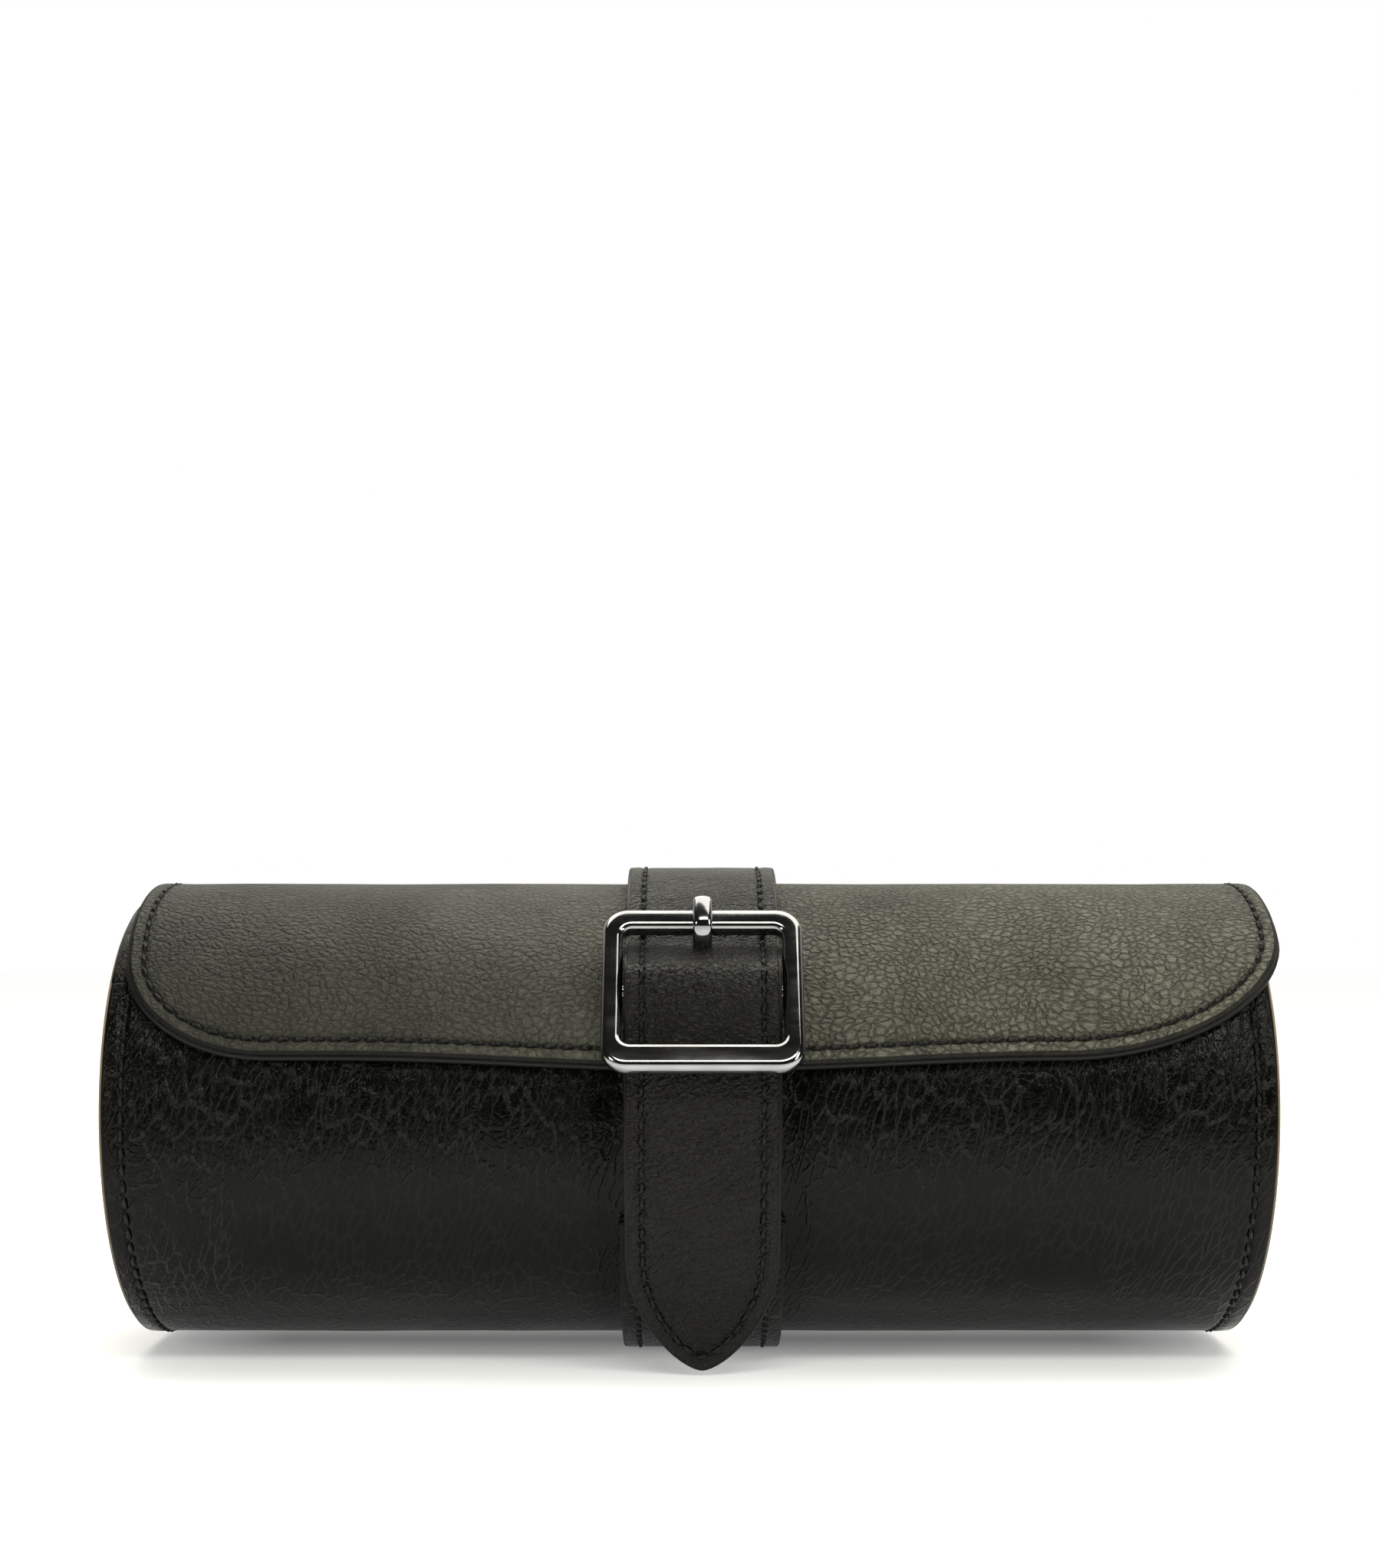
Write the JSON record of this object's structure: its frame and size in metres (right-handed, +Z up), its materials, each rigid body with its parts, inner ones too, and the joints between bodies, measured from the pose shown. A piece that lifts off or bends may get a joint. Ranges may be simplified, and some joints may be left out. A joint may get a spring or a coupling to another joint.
{
  "type": "watch roll",
  "caption": "Barrel-shaped black leather watch roll with a stitched lid flap, a pointed closing strap, a centre-bar buckle and lift-out cushions.",
  "frame": {"origin": "middle of the barrel's length on the flat of the under strap, where the roll rests on the table", "axes": "+X along the roll to the right as seen from the front, -Y towards the front with the buckle, +Z up"},
  "size_m": [0.2012, 0.0945, 0.0883],
  "materials": {
    "black_leather": "pebbled grain, soft sheen",
    "flap_lining_leather": "smooth turned edge",
    "strap_leather": "fine grain, soft sheen",
    "strap_lining_leather": "smooth",
    "thread": "waxed thread",
    "gunmetal": "dark polished plating",
    "suede": "brushed suede",
    "tan_edge": "raw cut edge",
    "board": "grey board",
    "foam": "open-cell foam"
  },
  "bodies": {
    "barrel": {"wrap_leather": "black_leather", "wrap_board": "board", "wrap_lining": "suede", "wrap_seams": "thread", "end_leather_left": "black_leather", "end_board_left": "board", "end_lining_left": "suede", "end_binding_left": "black_leather", "end_piping_left": "tan_edge", "end_leather_right": "black_leather", "end_board_right": "board", "end_lining_right": "suede", "end_binding_right": "black_leather", "end_piping_right": "tan_edge", "divider_left": "suede", "divider_right": "suede", "divider_board_left": "board", "divider_board_right": "board", "under_strap": "strap_leather", "under_strap_backing": "strap_lining_leather", "under_strap_seam": "thread", "fold_leather": "black_leather", "fold_lining": "suede"},
    "flap": {"flap_leather": "black_leather", "flap_board": "board", "flap_lining": "flap_lining_leather", "flap_seam": "thread", "strap_anchor": "strap_leather", "anchor_seam": "thread"},
    "strap": {"strap_leather": "strap_leather", "strap_lining": "strap_lining_leather", "strap_seam": "thread"},
    "buckle": {"chape": "strap_leather", "buckle_frame": "gunmetal", "centre_bar": "gunmetal"},
    "prong": {"prong": "gunmetal"},
    "cushion_1": {"cushion_cover_1": "suede", "cushion_core_1": "foam"},
    "cushion_2": {"cushion_cover_2": "suede", "cushion_core_2": "foam"},
    "cushion_3": {"cushion_cover_3": "suede", "cushion_core_3": "foam"}
  },
  "joints": [
    {"name": "flap_open", "type": "hinge", "parent": "barrel", "child": "flap", "pos_m": [0, 0.0411, 0.04798], "axis": [-1, 0, 0], "range_deg": [0, 122], "deforming": ["fold_leather", "fold_lining"]},
    {"name": "strap_lift", "type": "hinge", "parent": "flap", "child": "strap", "pos_m": [0, 0.03426, 0.07305], "axis": [-1, 0, 0], "range_deg": [0, 65], "deforming": ["strap_leather", "strap_lining", "strap_seam"]},
    {"name": "buckle_drop", "type": "hinge", "parent": "barrel", "child": "buckle", "pos_m": [0, -0.04031, 0.02753], "axis": [1, 0, 0], "range_deg": [0, 104.5]},
    {"name": "prong_flip", "type": "hinge", "parent": "buckle", "child": "prong", "pos_m": [0, -0.0388, 0.06644], "axis": [1, 0, 0], "range_deg": [0, 110]},
    {"name": "cushion_lift_1", "type": "slide", "parent": "barrel", "child": "cushion_1", "axis": [0, 0, 1], "range_m": [0, 0.055]},
    {"name": "cushion_lift_2", "type": "slide", "parent": "barrel", "child": "cushion_2", "axis": [0, 0, 1], "range_m": [0, 0.055]},
    {"name": "cushion_lift_3", "type": "slide", "parent": "barrel", "child": "cushion_3", "axis": [0, 0, 1], "range_m": [0, 0.055]}
  ],
  "couplings": [
    {"joint": "buckle_drop", "follows": "flap_open", "ratio": 0.8565},
    {"joint": "prong_flip", "follows": "strap_lift", "ratio": 1.6922},
    {"joint": "cushion_lift_1", "follows": "flap_open", "m_per_rad": 0.0258},
    {"joint": "cushion_lift_2", "follows": "flap_open", "m_per_rad": 0.0258},
    {"joint": "cushion_lift_3", "follows": "flap_open", "m_per_rad": 0.0258}
  ]
}
